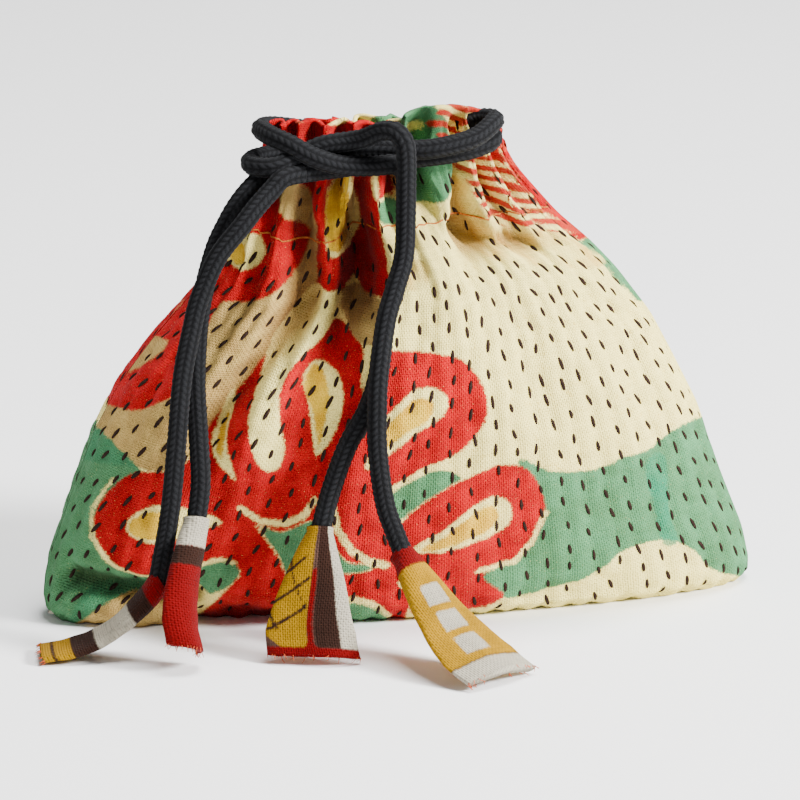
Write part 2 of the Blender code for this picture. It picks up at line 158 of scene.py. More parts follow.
# The braid's second charcoal is a painted highlight for its raised tops.
CHARCOAL, RIDGE_HIGHLIGHT_CHARCOAL = (0.003, 0.003, 0.0035), (0.0115, 0.012, 0.0135)
# The print's inks in the order of printing, the beige partly standing in for painted shade on the front's
# left flank: two colours that it varies between, and how much it covers.
INKS = {"beige": (BEIGE, SAND, 0.85), "green": (MINT, EMERALD, 0.95), "red": (RED, DARK_RED, 1.0),
        "cream": (CREAM, BUFF, 1.0), "yellow": (YELLOW, MUSTARD, 1.0), "tan": (TAN, CREAM, 0.8),
        "stripes": (STRIPE_RED, RED, 1.0), "teal": (TEAL, MINT, 0.8)}


# --------------------------------------------------------------------- noise
def lattice_noise(x, y, seed=0):
    """Smooth value noise on a unit lattice, from 0 to 1."""
    table = np.random.default_rng(seed).random((64, 64))
    xi, yi = np.floor(x).astype(int), np.floor(y).astype(int)
    fx, fy = x - xi, y - yi
    fx, fy = fx * fx * (3 - 2 * fx), fy * fy * (3 - 2 * fy)
    a, b = table[xi % 64, yi % 64], table[(xi + 1) % 64, yi % 64]
    c, d = table[xi % 64, (yi + 1) % 64], table[(xi + 1) % 64, (yi + 1) % 64]
    return (a * (1 - fx) + b * fx) * (1 - fy) + (c * (1 - fx) + d * fx) * fy


def smoothstep(low, high, x):
    t = np.clip((x - low) / (high - low), 0.0, 1.0)
    return t * t * (3 - 2 * t)


def merge(*distances):
    return np.minimum.reduce(distances)


# --------------------------------------------------------------- cloth shape
def envelope(z):
    """Half width, centre x and half depth at heights z, eased between the stations."""
    heights = STATIONS[:, 0]
    easing = np.linspace(-1.5, 1.5, 5)
    columns = []
    for values in STATIONS[:, 1:].T:
        eased = np.mean([np.interp(np.maximum(z + d, 0.0), heights, values) for d in easing], axis=0)
        columns.append(np.where(z < 6, np.interp(z, heights, values), eased))
    return columns


def to_segment(p, q, start, end):
    """Distance from the points (p, q) to the straight line between two others."""
    (ax, ay), (bx, by) = start, end
    dx, dy = bx - ax, by - ay
    t = np.clip(((p - ax) * dx + (q - ay) * dy) / (dx * dx + dy * dy), 0.0, 1.0)
    return np.hypot(p - ax - t * dx, q - ay - t * dy)


def fold_depth(turn, z, folds):
    """How far the gathers pull the cloth inwards, in mm."""
    half_w, _, half_d = envelope(z)
    span = 0.5 * (half_w + half_d) * 1.05
    total = np.zeros_like(z)
    neck = smoothstep(NECK_BASE, NECK_TOP, z)
    frill = 1.0 - 0.62 * smoothstep(101.0, 107.0, z)
    width = (1.15 + 1.9 * (1 - neck) + 0.085 * np.maximum(0.0, NECK_BASE - z)
             + 0.9 * smoothstep(100.0, 106.0, z))
    for top, low, end, belly_depth in folds:
        down = np.clip((FOLD_TOP - z) / (FOLD_TOP - end), 0.0, 1.0)
        middle = top + (low - top) * down ** 0.8
        fade = smoothstep(0.0, 1.0, (z - end) / (NECK_BASE - end if end < NECK_BASE else 4.0))
        depth = (belly_depth * fade * (1 - neck) + NECK_FOLD_DEPTH * neck) * frill
        away = np.abs(turn - middle) * span / width
        total = np.maximum(total, depth * np.exp(-away ** 2.5))
    return total


def crease_depth(turn, z, creases):
    """Depth of the belly's creases, in mm."""
    half_w, _, half_d = envelope(z)
    span = 0.55 * (half_w + half_d)
    total = np.zeros_like(z)
    for places, depth, width in creases:
        nearest = merge(*[to_segment(turn * span, z, (t0 * span, z0), (t1 * span, z1))
                          for (t0, z0), (t1, z1) in zip(places, places[1:])])
        total = total + depth * np.exp(-(nearest / width) ** 2)
    return total


def cloth_point(turn, z, side, folds, creases=()):
    """Points of the gathered cloth. side is -1 for the front and 1 for the back."""
    half_w, centre, half_d = envelope(z)
    if side > 0:
        half_d = half_d - 5.0 * smoothstep(98.0, 107.0, z)
    sine = np.clip(np.sin(turn), 0.0, 1.0)
    depth = fold_depth(turn, z, folds) * smoothstep(0.0, 0.25, np.minimum(turn, math.pi - turn))
    waves = (lattice_noise(turn * 6 + 3, z / 17.0, 11 + side) - 0.5) * 2.4 * smoothstep(4, 25, z)
    waves += (lattice_noise(turn * 14, z / 7.0, 21 + side) - 0.5) * 1.1 * smoothstep(40, 80, z)
    waves *= smoothstep(0.0, 0.35, np.minimum(turn, math.pi - turn)) * (1 - smoothstep(88, 95, z))
    push = waves - depth - crease_depth(turn, z, creases)
    x = centre - (half_w + 0.55 * push) * np.cos(turn)
    y = side * np.maximum((half_d + push) * sine ** 0.84, 0.15 * (z > 0.5))
    return x, y, z + 0 * x


def top_edge(turn, side):
    """Height of the frill's free edge. The back's leans lower than the front's."""
    peak = 3.4 * np.exp(-((turn - 2.05) / 0.36) ** 2)
    notch = 1.4 * np.exp(-((turn - 1.50) / 0.20) ** 2)
    front = 105.2 + peak - notch - 1.2 * smoothstep(2.5, 3.0, turn) + 0.3 * np.sin(11 * turn)
    back = 103.6 - 0.8 * smoothstep(2.3, 2.9, turn) + 0.3 * np.sin(13 * turn)
    return np.where(side < 0, front, back) - 0.8 * smoothstep(0.5, 0.0, turn)


def cloth_grid(side, folds, creases):
    """Rows of points from the bottom's middle line up to the frill's edge, with their turns."""
    turn = np.linspace(0.0, math.pi, COLUMNS + 1)
    turn = turn - 0.08 * np.sin(2 * turn)
    shares = [0.0]
    while shares[-1] < 1.0:
        step = ROW_STEP if shares[-1] * TALLEST > 6 else 0.5
        shares.append(shares[-1] + step / TALLEST)
    T, H = np.meshgrid(turn, np.minimum(np.array(shares), 1.0))
    X, Y, Z = cloth_point(T, H * top_edge(T, side), side, folds, creases)
    base_x = np.repeat(X[:1], BASE_ROWS, 0)
    base_y = Y[:1] * np.linspace(0.0, 1.0, BASE_ROWS, endpoint=False)[:, None]
    X, Y, Z = (np.vstack(p) for p in ((base_x, X), (base_y, Y), (0 * base_y, Z)))
    T = np.vstack((np.repeat(T[:1], BASE_ROWS, 0), T))
    return np.stack((X, Y, Z), -1), T


def grid_normals(points, side):
    """Unit normals of a cloth's points, which face away from the bag's inside."""
    across = np.gradient(points, axis=1)
    along = np.gradient(points, axis=0)
    normal = np.cross(across, along)
    normal /= np.linalg.norm(normal, axis=-1, keepdims=True) + 1e-9
    middle = normal[len(normal) // 2, normal.shape[1] // 2]
    return normal * (1 if middle[1] * side > 0 else -1)


def cloth_coordinates(points):
    """Distances along the cloth in mm: u across from the middle, w up from the bottom line."""
    centre = points.shape[1] // 2
    belly = np.argmin(np.abs(points[:, centre, 2] - 25.0))
    steps = np.linalg.norm(np.diff(points, axis=1), axis=-1)
    u = np.concatenate(([0.0], np.cumsum(steps[belly])))
    u = np.repeat((u - u[-1] / 2)[None], points.shape[0], 0)
    steps = np.linalg.norm(np.diff(points, axis=0), axis=-1)
    w = np.vstack((np.zeros((1, points.shape[1])), np.cumsum(steps, axis=0)))
    middle = np.repeat(w[:, centre][:, None], points.shape[1], 1)
    return u, 0.35 * w + 0.65 * middle


# --------------------------------------------------------------------- print
def ellipse(p, q, centre, radii, tilt=0.0):
    """Signed distance, roughly in mm, to an ellipse in the print's plane."""
    c, s = math.cos(math.radians(tilt)), math.sin(math.radians(tilt))
    dx, dy = p - centre[0], q - centre[1]
    a, b = (dx * c + dy * s) / radii[0], (-dx * s + dy * c) / radii[1]
    return (np.sqrt(a * a + b * b) - 1.0) * min(radii)


def leaf(p, q, start, end, width):
    """Signed distance to a pointed leaf between two points."""
    a, b = np.array(start), np.array(end)
    length = np.linalg.norm(b - a)
    along = ((p - a[0]) * (b - a)[0] + (q - a[1]) * (b - a)[1]) / length
    across = np.abs((p - a[0]) * (b - a)[1] - (q - a[1]) * (b - a)[0]) / length
    t = np.clip(along / length, 0.0, 1.0)
    outline = width * np.sin(math.pi * t) ** 0.8
    beyond = np.maximum(0.0, np.maximum(-along, along - length))
    return across - outline + beyond


def stroke(p, q, points, width):
    """Signed distance to a brushed line through some points."""
    return merge(*[to_segment(p, q, a, b) for a, b in zip(points, points[1:])]) - width / 2


def polygon(p, q, corners):
    """Signed distance to a closed outline."""
    inside = np.zeros(p.shape, bool)
    distance = np.full_like(p, 1e9)
    for (ax, ay), (bx, by) in zip(corners, corners[1:] + corners[:1]):
        distance = np.minimum(distance, to_segment(p, q, (ax, ay), (bx, by)))
        crosses = (ay > q) != (by > q)
        with np.errstate(divide="ignore", invalid="ignore"):
            inside ^= crosses & (p < (bx - ax) * (q - ay) / (by - ay + 1e-12) + ax)
    return np.where(inside, -distance, distance)


def ring(distance, width):
    return np.abs(distance) - width / 2


def catmull_rom(p0, p1, p2, p3, t):
    """A point of the smooth curve from p1 to p2."""
    return 0.5 * (2 * p1 + (p2 - p0) * t + (2 * p0 - 5 * p1 + 4 * p2 - p3) * t * t
                  + (3 * p1 - p0 - 3 * p2 + p3) * t ** 3)


def blob(p, q, corners):
    """Signed distance to a smooth closed outline through some points."""
    pts = np.array(corners, float)
    neighbours = [np.roll(pts, -k, axis=0) for k in (-1, 0, 1, 2)]
    return polygon(p, q, [tuple(catmull_rom(*four, t)) for four in zip(*neighbours)
                          for t in (0.0, 0.25, 0.5, 0.75)])


def blobs(p, q, outlines):
    return merge(*[blob(p, q, outline) for outline in outlines])


def polygons(p, q, outlines):
    return merge(*[polygon(p, q, outline) for outline in outlines])


# Outlines of the front's print: x to the right and y up, in mm, on the bag as seen from the front.
GREEN_LEAVES = [
    [(-66, 36), (-60, 33), (-56, 29), (-54, 26), (-60, 22), (-64, 14), (-60, 7), (-53, 4), (-53, 0),
     (-60, 0), (-68, -5), (-80, -6), (-82, 12), (-74, 27)],
    [(-42, 6.5), (-36, 8), (-33.5, 6), (-35, 3), (-40, 1), (-43, 3)],
    [(-3, 21), (2, 24.8), (7, 27), (11, 26.5), (12.5, 25), (7, 21.5), (2, 18), (-2, 16)],
    [(25, 29), (31, 26.5), (40, 27), (47, 29.5), (52, 31), (57, 34.5), (64, 38), (82, 41), (84, 5),
     (72, 4), (66, 6), (62, 10), (57, 12), (52, 11.5), (47, 9.5), (43, 6), (38, 3), (30, 1), (23, 0),
     (16, 4), (20, 14), (24, 26)],
    [(-11, -1), (-8, -0.5), (-3, -3), (0, -6), (-6, -9), (-11, -7)],
    [(-34, 88), (-31, 90), (-27, 86), (-30, 82), (-36, 82)],
    [(-4.6, 81.5), (-1, 82.5), (2, 80), (0, 77.5), (-2.5, 77.5), (-4.6, 79)],
    [(1, 101), (6, 103), (10, 99), (12.5, 92), (12, 87), (10, 83.5), (5, 81.8), (0, 83)]]
GREEN_STEM = [(38.5, 74.6), (42, 71.2), (46, 66.5), (50, 62), (54, 63), (48, 73), (41, 78)]
UNDER_ARC = [(-29.5, 15.6), (-24.5, 14.4), (-19, 16.4), (-15.5, 15.6), (-13.4, 10.6), (-10.5, 7.6),
             (-4.5, 7), (-8, 5.4), (-14, 5.6), (-20, 6.4), (-23.2, 4.2), (-25.8, 9.6)]
RED_PETALS = [
    [(-38, 61), (-33, 61.3), (-27, 63.2), (-23, 66.5), (-20.5, 74.5), (-24, 79), (-28.5, 83.5),
     (-35, 84), (-44, 74), (-52, 64), (-58, 57), (-49, 54), (-52, 49.5), (-58, 46.5), (-63, 41.5),
     (-56, 39.5), (-50, 41), (-45, 44), (-42, 52)],
    [(-16, 55), (-13, 57), (-9.5, 53.5), (-8, 51), (-8.2, 44), (-6.5, 38), (-6, 30), (-5, 25),
     (-2, 21), (-1, 16), (2, 8), (2, -1), (0, -6), (-5, -1), (-12, 0), (-12, -6), (-30, -9),
     (-44, -8), (-36, 2), (-33.5, 5.5), (-36, 8), (-42, 7), (-52, 4.5), (-60, 8), (-64, 15),
     (-62, 21), (-56, 26), (-46, 27), (-42, 31), (-40, 36), (-34, 43), (-29, 50), (-22, 52)],
    [(-4, 51), (2, 51.8), (8, 51.3), (14, 49), (17.5, 44), (18, 38), (15, 33), (10, 29.5),
     (4, 27), (-2, 22.5), (-7, 27), (-7, 44)],
    [(-2, 8), (-1, 15), (7, 21.5), (14, 25.5), (20, 27.8), (25, 27.5), (28.5, 24), (30.3, 18),
     (28.5, 12), (24, 8), (18, 5.5), (18, 3.5), (22, 0.5), (14, -3), (4, -4)]]
RED_BANDS = [
    [(-22, 88.5), (-30, 93), (-30, 112), (-6, 112), (-1, 100), (-0.5, 83), (-4.6, 83), (-4.0, 77),
     (-2.5, 70), (-2, 62.5), (-7, 61.5), (-9.5, 65), (-12, 62.3), (-18.2, 64.3), (-18.4, 78)],
    [(19.6, 101), (21.4, 93), (25.0, 86.5), (28.5, 84), (33.5, 79.2), (38.5, 74.6), (41, 78),
     (32, 92), (26, 102)]]
# Beige patches: partly the print's beige, partly painted shade over the front's left flank, which faces
# away from the key light.
BEIGE_PRINT_AND_SHADE = [
    [(-70, 42), (-44, 70), (-30, 82), (-18, 88), (-18, 62), (-24, 58), (-30, 49), (-40, 36),
     (-46, 27), (-66, 30)],
    [(-12, 62), (-7, 62), (-3, 60), (-4, 54), (-9, 53)],
    [(-66, 2), (-50, 2), (-50, -9), (-70, -9)]]
CREAM_PETALS = [
    [(-18.5, 64), (-23, 59), (-27, 54), (-29.5, 48), (-31, 40), (-30.5, 33), (-28.5, 28),
     (-25.5, 27.3), (-23.8, 31), (-24.8, 38), (-24.7, 44), (-21.5, 49.5), (-16, 54),
     (-12.5, 59.5), (-12, 62.7), (-15, 63.6)],
    [(-10.5, 91), (-9.5, 85), (-8, 77), (-9, 72.5), (-11, 70.3), (-14.5, 71), (-15.5, 77), (-14, 86)],
    [(-18, 49.3), (-13.5, 46.5), (-12, 42), (-13, 36), (-16, 30.5), (-17.6, 31), (-19, 40), (-20, 45)],
    [(-35, 43), (-38, 38), (-39.5, 33), (-37.5, 28.5), (-34, 25), (-35.5, 31), (-35.6, 36)],
    [(-57, 16), (-53, 19), (-47, 19.3), (-41, 18.2), (-37, 15.8), (-41, 14.8), (-46, 13), (-51, 12),
     (-55, 13)],
    [(-6, 31), (-3, 37.5), (2, 43), (6, 44.3), (9.5, 43), (10.3, 40), (8, 37), (4, 34.5), (-1, 31),
     (-7, 27)],
    [(2, 10), (5, 12.5), (10, 15), (15, 19), (19, 21.2), (22.5, 20), (23, 16.5), (20, 13.8),
     (14, 11), (8, 9.8)],
    [(-6, 87), (-4.8, 88), (-4.6, 83), (-5.8, 83.5)],
    [(-0.5, 3), (1, 4), (3, 2), (1, 1.5)]]
CREAM_LINES = [                         # places along the line, and its width
    ([(-33, 19), (-29, 16.6), (-24, 15.9), (-20, 17.5), (-17.5, 21)], 1.3),
    ([(-14, 20), (-13, 14), (-10, 10), (-6, 7.5), (-3, 7)], 1.6),
    ([(-60, 25), (-64, 19), (-64.5, 13), (-61, 8), (-56, 5), (-51, 4)], 0.6),
    ([(-42, 6.8), (-38, 8.3), (-34.5, 7.5)], 0.8), ([(-30, 15.6), (-26.2, 9.8), (-23.4, 3.8)], 0.5),
    ([(-11, -0.5), (-7, -1), (-2, -4)], 0.9), ([(-2, 22.5), (2, 25), (6, 27.2), (11, 28.8)], 1.1),
    ([(16, 5.5), (24, 7.8), (28, 12), (30.5, 18)], 1.0)]
CREAM_DOTS = [                          # centre, half width and half height, tilt in degrees
    ((-33.2, 72.3), (4.3, 4.0), 0), ((-20, 100.5), (3.2, 1.6), 10), ((-13, 99), (1.8, 1.4), 0),
    ((4, 97), (1.8, 1.2), 40)]
YELLOW_PETALS = [
    [(-10.8, 90), (-13, 87), (-15, 82), (-15.5, 76), (-14, 71.8), (-11, 72), (-10.6, 80)],
    [(-18.2, 48.5), (-20, 44), (-18, 38), (-17, 31.5), (-15.5, 37), (-15, 42), (-16.2, 47)],
    [(-56.5, 15.8), (-53.5, 18), (-49, 18), (-47, 15), (-50, 12.8), (-54.5, 13.2)],
    [(-5.5, 30), (-2, 36.5), (2, 41), (5, 42), (7.5, 40.5), (6, 37), (2, 34.7), (-2, 31.8)],
    [(4, 10.5), (9, 13), (14, 16.5), (18.5, 19.5), (20.5, 17), (17, 13.3), (11, 11), (6, 10)],
    [(-36.5, 38), (-38.5, 33.5), (-37, 29.5), (-36.2, 33)]]
YELLOW_DOTS = [((-34.6, 71.6), (2.0, 2.2), 0), ((-2.5, 91.2), (2.0, 0.7), 0)]
TAN_LEAF = [(13, 90), (16, 86), (18.5, 80), (17.5, 76), (14, 77), (13, 84)]
TAN_BAND = [(17, 78), (28, 77), (36, 75), (43, 70), (34, 69), (20, 71)]
STRIPE_AREA = [(6, 98), (10, 104), (15, 109), (24, 109), (22.5, 94), (27, 86), (33, 80.5),
               (38, 76.5), (25, 76.5), (18.5, 79), (15.5, 86), (11.5, 93)]
STRIPE_EDGE = [(-32, 101.4), (-20, 101), (-8, 100.2), (-5, 113), (-32, 113)]
TEAL_SLIVER = [(53, 30), (56, 29), (57, 18), (59, 12), (56, 11), (54, 18), (52, 26)]


def front_print(p, q):
    """Layers of the block print on the front, painted in this order."""
    p = p + 0.8 * (lattice_noise(p / 7 + 40, q / 7 + 40, 3) - 0.5)
    q = q + 0.8 * (lattice_noise(p / 7 + 80, q / 7 + 10, 4) - 0.5)
    under_arc = blob(p, q, UNDER_ARC)
    rows = np.abs((q + 0.7 * np.sin(p / 1.9) + 0.10 * p) % 2.5 - 1.25) - 0.5
    return {
        "green": merge(blobs(p, q, GREEN_LEAVES), polygon(p, q, GREEN_STEM), under_arc),
        "red": np.maximum(merge(blobs(p, q, RED_PETALS), polygons(p, q, RED_BANDS)), -under_arc),
        # Beige: partly print and partly painted shade on the left flank.
        "beige": polygons(p, q, BEIGE_PRINT_AND_SHADE) - 1.0,
        "cream": merge(blobs(p, q, CREAM_PETALS), *[stroke(p, q, *line) for line in CREAM_LINES],
                       *[ellipse(p, q, *dot) for dot in CREAM_DOTS]),
        "yellow": merge(blobs(p, q, YELLOW_PETALS), *[ellipse(p, q, *dot) for dot in YELLOW_DOTS]),
        "tan": merge(blob(p, q, TAN_LEAF), blob(p, q, TAN_BAND) - 0.4,
                     ellipse(p, q, (3.0, 67.5), (3.4, 3.2))),
        "stripes": merge(np.maximum(polygon(p, q, STRIPE_AREA), rows), polygon(p, q, STRIPE_EDGE)),
        "teal": blob(p, q, TEAL_SLIVER)}


# Outlines and petals of the back's print: centre, half width and half height, tilt in degrees.
BACK_PETALS = [((-42.0, 34.0), (13.0, 11.0), 20), ((-8.0, 22.0), (15.0, 9.0), -15),
               ((38.0, 40.0), (12.0, 13.0), 10), ((10.0, 60.0), (10.0, 12.0), 0)]
BACK_RED = [
    [(-60, 62), (-48, 55), (-36, 53), (-24, 60), (-17, 70), (-15, 90), (-18, 114), (-46, 114), (-56, 80)],
    [(13, 80), (20, 74), (32, 69), (42, 62), (50, 44), (60, 40), (68, 46), (52, 80), (30, 112),
     (12, 114), (11, 96)]]
BACK_GREEN = [
    [(-90, 44), (-72, 40), (-61, 33), (-53, 21), (-40, 15), (-26, 8), (-20, 0), (-26, -12), (-90, -12)],
    [(24, 20), (34, 25), (48, 25), (58, 33), (70, 38), (90, 40), (90, -12), (60, -8), (44, 3), (30, 9)]]


def petal_hearts(p, q, wide, high):
    """The middles of the back's petals, as shares of their half width and half height."""
    return merge(*[ellipse(p, q, centre, (radii[0] * wide, radii[1] * high), tilt)
                   for centre, radii, tilt in BACK_PETALS])


def back_print(p, q):
    """The same kind of petals, leaves and bands, laid out again for the back."""
    p = p + 1.6 * (lattice_noise(p / 9 + 4, q / 9 + 40, 5) - 0.5)
    q = q + 1.6 * (lattice_noise(p / 9 + 8, q / 9 + 10, 6) - 0.5)
    rows = np.abs((q + 1.4 * np.sin(p / 3.2) - 0.5 * p) % 3.5 - 1.75) - 0.62
    striped = polygon(p, q, [(-12.0, 70.0), (4.0, 74.0), (6.0, 82.0), (-12.0, 84.0)])
    return {
        "green": merge(blobs(p, q, BACK_GREEN), ellipse(p, q, (-2.0, 92.0), (8.0, 12.0), 5),
                       ellipse(p, q, (-24.0, 44.0), (6.0, 4.0), 30)),
        "red": merge(blobs(p, q, BACK_RED), *[ellipse(p, q, *petal) for petal in BACK_PETALS]),
        "beige": ellipse(p, q, (-56.0, 50.0), (10.0, 6.0), 30),
        "cream": merge(*[ring(ellipse(p, q, *petal), 1.4) for petal in BACK_PETALS],
                       petal_hearts(p, q, 0.35, 0.4), leaf(p, q, (24.0, 74.0), (26.0, 96.0), 4.0),
                       stroke(p, q, [(-44.0, 74.0), (-34.0, 68.0), (-28.0, 78.0), (-30.0, 92.0)], 3.8)),
        "yellow": merge(petal_hearts(p, q, 0.2, 0.24), leaf(p, q, (24.4, 78.0), (25.6, 93.0), 2.4)),
        "tan": ellipse(p, q, (52.0, 60.0), (6.0, 3.0), -30),
        "stripes": np.maximum(striped, rows),
        "teal": ellipse(p, q, (60.0, 22.0), (3.0, 8.0), 10)}


# ----------------------------------------------------------------- materials
SHADER_INPUTS = {"roughness": "Roughness", "specular": "Specular IOR Level", "sheen": "Sheen Weight",
                 "sheen_roughness": "Sheen Roughness"}


class Nodes:
    """Short calls for building a node tree."""

    def __init__(self, name):
        self.material = bpy.data.materials.new(name)
        self.material.use_nodes = True
        self.tree = self.material.node_tree
        self.shader = self.tree.nodes["Principled BSDF"]

    def add(self, kind, **settings):
        node = self.tree.nodes.new(kind)
        for key, value in settings.items():
            setattr(node, key, value)
        return node

    def link(self, source, target):
        self.tree.links.new(source, target)

    def value(self, socket, source):
        if hasattr(source, "is_output"):
            self.link(source, socket)
        else:
            socket.default_value = source

    def math(self, operation, a, b=0.0):
        node = self.add("ShaderNodeMath", operation=operation)
        self.value(node.inputs[0], a)
        self.value(node.inputs[1], b)
        return node.outputs[0]

    def plus(self, a, b):
        return self.math("ADD", a, b)

    def times(self, a, b):
        return self.math("MULTIPLY", a, b)

    def mix(self, factor, a, b, blend="MIX"):
        node = self.add("ShaderNodeMix", data_type="RGBA", blend_type=blend)
        self.value(node.inputs["Factor"], factor)
        for socket, colour in ((node.inputs["A"], a), (node.inputs["B"], b)):
            self.value(socket, colour if hasattr(colour, "is_output") else (*colour, 1.0))
        return node.outputs["Result"]

    def attribute(self, name):
        return self.add("ShaderNodeAttribute", attribute_name=name)

    def noise(self, vector, scale, detail=2.0, roughness=0.5):
        node = self.add("ShaderNodeTexNoise")
        self.link(vector, node.inputs["Vector"])
        for key, value in (("Scale", scale), ("Detail", detail), ("Roughness", roughness)):
            node.inputs[key].default_value = value
        return node.outputs["Fac"]

    def ramp(self, value, low, high):
        node = self.add("ShaderNodeMapRange", interpolation_type="SMOOTHSTEP")
        self.value(node.inputs["Value"], value)
        node.inputs["From Min"].default_value = low
        node.inputs["From Max"].default_value = high
        return node.outputs["Result"]

    def wobble(self, vector, size, scale, detail, roughness):
        """Noise about zero, to roughen an edge by up to half of size either way."""
        return self.times(self.plus(self.noise(vector, scale, detail, roughness), -0.5), size)

    def bump(self, height, distance, strength):
        node = self.add("ShaderNodeBump")
        self.link(height, node.inputs["Height"])
        node.inputs["Distance"].default_value = distance
        node.inputs["Strength"].default_value = strength
        return node.outputs["Normal"]

    def surface(self, colour, normal, **settings):
        """Wires the shader's colour and bump, sets its other inputs, and gives the material."""
        self.link(colour, self.shader.inputs["Base Color"])
        self.link(normal, self.shader.inputs["Normal"])
        for name, value in settings.items():
            self.shader.inputs[SHADER_INPUTS[name]].default_value = value
        return self.material


def weave(n, uv):
    """Plain weave: bump height and a thread-by-thread tone, from cloth coordinates in mm."""
    split = n.add("ShaderNodeSeparateXYZ")
    n.link(uv, split.inputs[0])
    warp, weft = (n.math("SINE", n.times(split.outputs[i], math.pi / THREAD_PITCH)) for i in (0, 1))
    ribs = n.plus(n.math("ABSOLUTE", warp), n.math("ABSOLUTE", weft))
    height = n.plus(n.times(n.times(warp, weft), 0.35), n.times(ribs, 0.5))
    streaks = []
    for scale in ((2.0, 0.12, 1.0), (0.12, 2.0, 1.0)):
        stretch = n.add("ShaderNodeMapping")
        n.link(uv, stretch.inputs["Vector"])
        stretch.inputs["Scale"].default_value = scale
        streaks.append(n.noise(stretch.outputs[0], 1.0))
    slubs = n.plus(*streaks)
    return n.plus(height, n.times(slubs, 0.6)), slubs


def finish_cloth(n, colour, uv):
    """Threads, wear and nap over a colour."""
    height, slubs = weave(n, uv)
    wear = n.ramp(n.noise(uv, 0.16, 4.0, 0.6), 0.3, 0.75)
    pores = n.ramp(height, 0.55, 1.05)
    tone = n.times(n.plus(n.times(slubs, 0.34), 0.66), n.plus(n.times(wear, 0.12), 0.92))
    tone = n.times(tone, n.plus(n.times(pores, 0.30), 0.76))
    shade = n.add("ShaderNodeCombineColor")
    for i in range(3):
        n.link(tone, shade.inputs[i])
    return n.surface(n.mix(1.0, colour, shade.outputs[0], "MULTIPLY"), n.bump(height, 0.00022, 0.9),
                     roughness=0.92, sheen=0.03, sheen_roughness=0.5, specular=0.06)


def cloth_uv(n):
    """Cloth coordinates in mm, as the mesh stores them."""
    return n.attribute("cloth").outputs["Vector"]


def printed_cloth(name):
    """Block-printed kantha: cream ground, then each layer with a rough, slightly bled edge, and painted
    shade in the deep folds.
    """
    n = Nodes(name)
    uv = cloth_uv(n)
    speckle = n.ramp(n.noise(uv, 0.75, 3.0, 0.7), 0.54, 0.68)
    faint = n.ramp(n.noise(uv, 0.09, 3.0, 0.6), 0.35, 0.7)
    colour = n.mix(n.times(speckle, n.plus(n.times(faint, 0.5), 0.12)), CREAM, BUFF)
    fine = n.wobble(uv, 1.1, 3.2, 2.0, 0.6)
    rough = n.plus(n.wobble(uv, 1.3, 1.1, 3.0, 0.65), fine)
    patch = n.ramp(n.noise(uv, 0.13, 3.0, 0.6), 0.3, 0.7)
    shares = {"cream": n.times(speckle, 0.4), "stripes": n.times(patch, 0.5)}
    for layer, (ink, second_ink, cover) in INKS.items():
        sharp = layer == "stripes"
        distance = n.plus(n.attribute(layer).outputs["Fac"], fine if sharp else rough)
        inside = n.times(n.ramp(distance, 0.35, 0.0 if sharp else -0.35), cover)
        colour = n.mix(inside, colour, n.mix(shares.get(layer, patch), ink, second_ink))
    missed = n.ramp(n.noise(uv, 2.4, 2.0, 0.7), 0.63, 0.75)
    colour = n.mix(n.times(missed, 0.35), colour, CREAM)
    # Painted shade: the colour is darkened towards FOLD_SHADE where the gathers and creases run deep.
    painted_fold_shade = n.ramp(n.attribute("fold").outputs["Fac"], 1.5, 8.0)
    return finish_cloth(n, n.mix(n.times(painted_fold_shade, 0.78), colour, FOLD_SHADE, "MULTIPLY"), uv)


def thread_material(name, colour):
    """Thread or loose fibre, lighter here and there."""
    n = Nodes(name)
    place = n.add("ShaderNodeTexCoord").outputs["Object"]
    tone = n.mix(n.ramp(n.noise(place, 2600.0), 0.35, 0.7), colour, [min(1.0, c * 2.2) for c in colour])
    return n.surface(tone, n.bump(n.noise(place, 5200.0), 0.0001, 0.6), roughness=0.85, specular=0.1)


def plain_cloth(name, colour):
    """Unprinted cloth with a slightly uneven tone."""
    n = Nodes(name)
    uv = cloth_uv(n)
    tone = n.mix(n.ramp(n.noise(uv, 0.2, 3.0), 0.3, 0.7), colour, [c * 0.9 for c in colour])
    return finish_cloth(n, tone, uv)


def braid_material(name):
    """Matt charcoal cotton with fine fibres, painted lighter on the raised tops of the braid and darker in
    its grooves, as painted highlight and shade.
    """
    n = Nodes(name)
    place = n.add("ShaderNodeTexCoord").outputs["Object"]
    fibre = n.noise(place, 4200.0, 3.0, 0.7)
    # Painted highlight and shade: lighter on the braid's raised tops, darker in its grooves.
    colour = n.mix(n.ramp(n.attribute("ridge").outputs["Fac"], 0.25, 1.0), CHARCOAL, RIDGE_HIGHLIGHT_CHARCOAL)
    colour = n.mix(n.times(n.ramp(fibre, 0.55, 0.75), 0.5), colour, FIBRE_GREY)
    return n.surface(colour, n.bump(fibre, 0.0002, 0.7), roughness=0.88, sheen=0.03,
                     sheen_roughness=0.4, specular=0.1)


# -------------------------------------------------------------- mesh helpers
def mesh_object(name, vertices, faces, materials):
    """A smooth mesh in the scene, from vertices in mm."""
    mesh = bpy.data.meshes.new(name)
    mesh.from_pydata((np.asarray(vertices) * MM).tolist(), [], faces)
    for material in materials:
        mesh.materials.append(material)
    mesh.shade_smooth()
    mesh.update()
    obj = bpy.data.objects.new(name, mesh)
    bpy.context.scene.collection.objects.link(obj)
    return obj


def store(mesh, name, values, kind="FLOAT"):
    """One value or vector at each vertex, for the materials to read."""
    layer = mesh.attributes.new(name, kind, "POINT")
    key = "value" if kind == "FLOAT" else "vector"
    layer.data.foreach_set(key, np.asarray(values, np.float32).ravel())


def set_slots(mesh, counts):
    """Gives each run of faces the next of the mesh's materials."""
    mesh.polygons.foreach_set("material_index", np.repeat(np.arange(len(counts), dtype=np.int32), counts))


